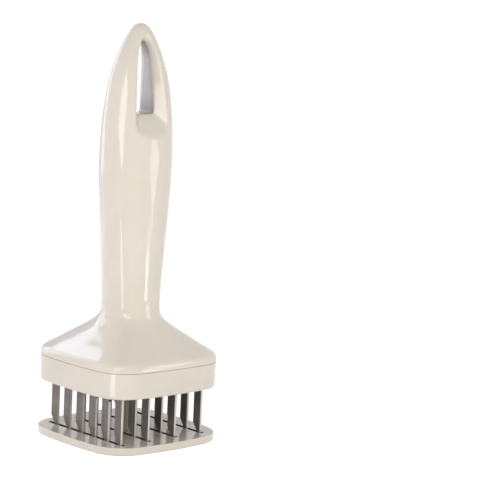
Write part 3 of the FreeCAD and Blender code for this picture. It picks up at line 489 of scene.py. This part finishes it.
def plan_reach(angle):
    """Distance from the centre to the head's outline over its half width, by direction.

    The outline is a square with sides and corners that are arcs tangent to each other; a ray meets the
    side's arc up to their joint and the corner's arc beyond it.
    """
    offset, reach = HEAD_BULGE - HEAD_HALF, HEAD_BULGE - HEAD_CORNER
    corner_at = (math.sqrt(2 * reach ** 2 - offset ** 2) - offset) / 2
    swing = math.atan2(corner_at, corner_at + offset)
    joint = math.atan2(HEAD_BULGE * math.sin(swing), HEAD_BULGE * math.cos(swing) - offset)
    folded = np.abs((angle + math.pi / 4) % (math.pi / 2) - math.pi / 4)
    on_side = folded < joint
    centre_x = np.where(on_side, -offset, corner_at)
    centre_y = np.where(on_side, 0.0, corner_at)
    radius = np.where(on_side, HEAD_BULGE, HEAD_CORNER)
    along = np.cos(folded) * centre_x + np.sin(folded) * centre_y
    return (along + np.sqrt(along ** 2 - centre_x ** 2 - centre_y ** 2 + radius ** 2)) / HEAD_HALF


# Points on a quarter of a ring.
QUARTER = 44
angles = np.arange(4 * QUARTER) * (math.pi / 2 / QUARTER)


def loft(rows):
    """Rings of points, one for each row of a level, two half widths and a share of the head's outline: the
    ellipse of those half widths, stretched towards the outline by that share."""
    stretch = 1 + rows[:, 3:4] * (plan_reach(angles)[None, :] - 1)
    x = rows[:, 1:2] * stretch * np.cos(angles)
    y = rows[:, 2:3] * stretch * np.sin(angles)
    z = np.broadcast_to(rows[:, 0:1], x.shape)
    return np.stack([x, y, z], axis=-1)


# The hanging slot, with the web's half thickness at its sill and its crown. The recess grows out of it.
SLOT = {"bottom": 156.0, "top": 190.2, "half": 5.15, "corner": 1.7, "web_low": 5.2, "web_high": 2.0}
RECESS = {"reach": 12.0, "ramp_drop": 14.0, "side_flare": 9.0, "crown_rise": 12.0, "corner_growth": 2.6}
ARCH_POWER, ARCH_LEAN = 4.6, 0.19


def outline_at(part):
    """Half width, corner radius, sill and crown of the recess's outline, from the slot (0) outwards (1)."""
    return (
        SLOT["half"] + RECESS["side_flare"] * part,
        SLOT["corner"] + RECESS["corner_growth"] * part,
        SLOT["bottom"] - RECESS["ramp_drop"] * part,
        SLOT["top"] + RECESS["crown_rise"] * part,
    )


def arch_width(rise):
    """Half width of the arch over that at its foot: 1 less a share of the rise, times the root of 1 less a
    high power of the rise, so the sides lean in a little and then close in a round."""
    rise = np.clip(rise, 0, 1)
    return np.sqrt(1 - rise ** ARCH_POWER) * (1 - ARCH_LEAN * rise)


def web_half(height_share):
    """Half thickness of the web at the slot's edge: it thins evenly from the sill (0) to the crown (1)."""
    return SLOT["web_low"] + (SLOT["web_high"] - SLOT["web_low"]) * height_share


def recess_depth(y, z):
    """Distance from the middle plane to the recess's wall.

    The outline that a point lies on is found by halving, and the depth is the web's half thickness, by
    height within that outline, plus the recess's reach times the outline's part. A part just under 0 carries
    the wall on into the slot, and one above 1 carries it past the grip.
    """
    least, most, halvings = -0.3, 2.2, 26
    low, high = np.full(y.shape, least), np.full(y.shape, most)
    for _ in range(halvings):
        part = (low + high) / 2
        half, corner, sill, crown = outline_at(part)
        foot = sill + corner
        over_foot = half * arch_width((z - foot) / (crown - foot))
        in_corner = half - corner + np.sqrt(np.clip(corner ** 2 - (foot - z) ** 2, 0, None))
        in_arch = (np.abs(y) < over_foot) & (z < crown)
        inside = np.where(z >= foot, in_arch, (z > sill) & (np.abs(y) < in_corner))
        low, high = np.where(inside, low, part), np.where(inside, part, high)
    half, corner, sill, crown = outline_at(high)
    return web_half((z - sill) / (crown - sill)) + RECESS["reach"] * high


# Blend where the recess meets the oval, and the depth of the oval under which the blend fades out.
RIM_BLEND, BLEND_FADE = 1.1, 3


def front_depth(y, z):
    """Half thickness of the thin end: the lesser of the oval section and the recess, with the rim rounded.

    Within the blend the lesser depth is cut by a quarter of the blend times the square of their overlap.
    """
    half_x = np.interp(z, fine_level, fine_half_x)
    half_y = np.interp(z, fine_level, fine_half_y)
    oval = half_x * np.sqrt(np.clip(1 - (y / np.maximum(half_y, 1e-9)) ** 2, 0, None))
    recess = recess_depth(y, z)
    overlap = np.clip(RIM_BLEND - np.abs(oval - recess), 0, None) / RIM_BLEND
    return np.minimum(oval, recess) - overlap ** 2 * RIM_BLEND / 4 * np.clip(oval / BLEND_FADE, 0, 1)


def resample(points, count):
    """Points at equal distances along a polyline."""
    length = np.concatenate([[0], np.cumsum(np.linalg.norm(np.diff(points, axis=0), axis=1))])
    at = np.linspace(0, length[-1], count)
    return np.stack([np.interp(at, length, points[:, axis]) for axis in (0, 1)], -1)


# Ends of the rungs on one side: within, half the slot's outline; without, a quarter of the ring below the
# recess and then the silhouette up to the tip. The rungs to the ring start at the sill and its corner.
RING_LEVEL = 138.4
ARCH_RUNGS = 84
CORNER_POINTS, ARCH_POINTS = 40, 400
slot_half, corner, sill, crown = outline_at(0.0)
turns = np.linspace(0, math.pi / 2, CORNER_POINTS)
sill_and_corner = np.column_stack([
    np.concatenate([[0], slot_half - corner * (1 - np.sin(turns))]),
    np.concatenate([[sill], sill + corner * (1 - np.cos(turns))]),
])
rise = np.sin(np.linspace(0, math.pi / 2, ARCH_POINTS))
arch = np.column_stack([slot_half * arch_width(rise), sill + corner + (crown - sill - corner) * rise])
above = fine_rows[fine_level >= RING_LEVEL]
ring_half_y = np.interp(RING_LEVEL, fine_level, fine_half_y)
silhouette = np.vstack([[ring_half_y, RING_LEVEL], above[:, [2, 0]]])
silhouette[-1] = (0.0, HANDLE_TOP)
inner_end = np.vstack([resample(sill_and_corner, QUARTER + 1), resample(arch, ARCH_RUNGS + 1)[1:]])
outer_end = np.vstack([
    np.column_stack([ring_half_y * np.sin(angles[:QUARTER + 1]), np.full(QUARTER + 1, RING_LEVEL)]),
    resample(silhouette, ARCH_RUNGS + 1)[1:],
])

# Each rung runs from the slot's edge out to the silhouette, or down to the ring where the grip begins. It
# is carried round the edge and through the slot to the other face, and mirrored to the other side.
RUNG_STEPS, WALL_STEPS = 46, 9
EDGE_ROUND = 0.8
rung = outer_end - inner_end
rung_long = np.linalg.norm(rung, axis=1)[:, None]
step = np.linspace(0, 1, RUNG_STEPS)[None, :]
to_silhouette = np.clip(np.arange(len(rung)) / QUARTER, 0, 1)[:, None]
eased = step * (1 - to_silhouette) + np.sin(step * math.pi / 2) * to_silhouette
start = EDGE_ROUND / rung_long
along = start + (1 - start) * eased
face_y = inner_end[:, 0:1] + along * rung[:, 0:1]
face_z = inner_end[:, 1:2] + along * rung[:, 1:2]
face = np.stack([front_depth(face_y, face_z), face_y, face_z], -1)
face[QUARTER:, -1, 0] = 0.0
edge_x = recess_depth(inner_end[:, 0], inner_end[:, 1])
edge = np.column_stack([edge_x, inner_end])
wall_x = np.linspace(1, -1, WALL_STEPS)[None, :] * (edge_x[:, None] - EDGE_ROUND)
wall = np.stack([wall_x, *(np.broadcast_to(inner_end[:, n:n + 1], wall_x.shape) for n in (0, 1))], -1)
bend = np.array([0.25, 0.5, 0.75])[None, :, None]
turned = (1 - bend) ** 2 * face[:, :1] + 2 * bend * (1 - bend) * edge[:, None] + bend ** 2 * wall[:, :1]
to_back = np.array([-1, 1, 1])
to_left = np.array([1, -1, 1])
front, back = [face[:, ::-1], turned], [turned[:, ::-1] * to_back, face * to_back]
right_side = np.concatenate([*front, wall, *back], axis=1)
left_side = right_side[-2:0:-1] * to_left
thin_end = np.concatenate([right_side, left_side])

# Rows of the outside from the lip to the ring, and of the inside from the top of the core to the lip: the
# core's bore, the spring's tube with its bore, the hollow head and the rebate that the skirt's tongue fits.
LIP_END, FOOT_END, ROWS_EACH = 0.4, 40, 90
ring_at = np.interp(RING_LEVEL, fine_level, fine)
stops = np.concatenate([
    np.linspace(LIP_END, FOOT_END, ROWS_EACH), np.linspace(FOOT_END, ring_at, ROWS_EACH)[1:],
])
outer_rows = spline(profile, outside, stops)
outer_rows[-1] = (RING_LEVEL, np.interp(RING_LEVEL, fine_level, fine_half_x), ring_half_y, 0.0)
lip = [(38.68, 35.2), (38.70, 35.31), (38.77, 35.42), (38.87, 35.48)]
lip = [(level, half, half, 1.0) for level, half in lip]
WALL, HOLLOW_LOW, HOLLOW_HIGH = 2.6, 40.8, 54.6
slope = shoulder[2:, :2] - shoulder[:-2, :2]
slope /= np.linalg.norm(slope, axis=1)[:, None]
hollow = np.column_stack([shoulder[1:-1, 0] + WALL * slope[:, 1], shoulder[1:-1, 1] - WALL * slope[:, 0]])
hollow = np.column_stack([hollow, hollow[:, 1], shoulder[1:-1, 2]])
hollow = hollow[(hollow[:, 0] > HOLLOW_LOW) & (hollow[:, 0] < HOLLOW_HIGH)][::-1]
CORE, BORE, TUBE = 5.5, 7.2, 9.2
CORE_TOP, BORE_TOP, TUBE_FOOT = 136.4, 104.4, 41.8
bore = [
    (CORE_TOP, 0.0), (CORE_TOP, CORE), (BORE_TOP, CORE), (BORE_TOP, BORE), (TUBE_FOOT, BORE),
    (TUBE_FOOT, TUBE), (hollow[0, 0], TUBE),
]
bore = [(level, radius, radius, 0.0) for level, radius in bore]
rebate = [(level, half, half, 1.0) for level, half in [(40.75, 32.6), (40.75, 34.55), (38.68, 34.55)]]
body = loft(np.vstack([bore, hollow, rebate, lip, outer_rows]))

# Two amounts are painted on the handle's points: how far a point lies inside the slot, where a painted cool
# reflection tints the plastic, and how much painted shade darkens it in and round the slot.
handle_cream = moulded_plastic("handle_cream", (0.755, 0.685, 0.585), (0.79, 0.72, 0.62), 0.09)
tree = handle_cream.node_tree
for painted, colour in [("slot_cool_reflection", (0.80, 0.775, 0.825)), ("slot_shade", (0.30, 0.275, 0.26))]:
    amount = tree.nodes.new("ShaderNodeAttribute")
    amount.attribute_name = painted
    tint(tree, tree.nodes["Principled BSDF"], amount.outputs["Fac"], colour)

grids = [(body, True), (thin_end.transpose(1, 0, 2), True)]
handle = add_piece("handle", grids, handle_cream, "handle")
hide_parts("handle_shell")
spots = np.empty(3 * len(handle.data.vertices))
handle.data.vertices.foreach_get("co", spots)
spots = spots.reshape(-1, 3) / MM
x, y, z = spots[:, 0], spots[:, 1], spots[:, 2]
web = web_half((z - sill) / (crown - sill))
outwards = recess_depth(y, z) - web
in_slot = (z > sill - 0.1) & (z < crown) & (outwards < 0.2)
past_edge = web - EDGE_ROUND / 2 - np.abs(x)
# Painted cool reflection: the plastic is tinted cooler the deeper a point lies in the slot.
slot_cool_reflection = np.where(in_slot, np.clip(past_edge / EDGE_ROUND, 0, 1), 0)

# Painted shade on the slot's walls lies thickest under the crown, then at the sill and towards one face's
# edge.
# Out on the recess a faint band of painted shade fades away from the slot, and fades out at the sill and the
# crown.
CROWN_FADE, SILL_FADE, SIDE_FADE, BAND_FADE = 9, 8, 3, 2.0
near_edge = np.clip(x * np.clip(y / SIDE_FADE, -1, 1) / web, -1, 1)
near_crown = np.clip(1 - (crown - z) / CROWN_FADE, 0, 1)
near_sill = np.clip(1 - (z - sill) / SILL_FADE, 0, 1)
wall_shade = 0.34 + 0.3 * near_edge + 0.8 * near_crown + 0.35 * near_sill
in_recess = np.clip((z - sill) / 3, 0, 1) * np.clip((crown + 2 - z) / 2, 0, 1)
recess_edge_shade = 0.5 * np.exp(-np.maximum(outwards, 0) / BAND_FADE) * np.clip(near_edge, 0, 1) * in_recess
slot_shade = np.clip(np.where(in_slot, wall_shade, recess_edge_shade), 0, 1)
for painted, amounts in [("slot_cool_reflection", slot_cool_reflection), ("slot_shade", slot_shade)]:
    handle.data.attributes.new(painted, "FLOAT", "POINT").data.foreach_set("value", amounts)
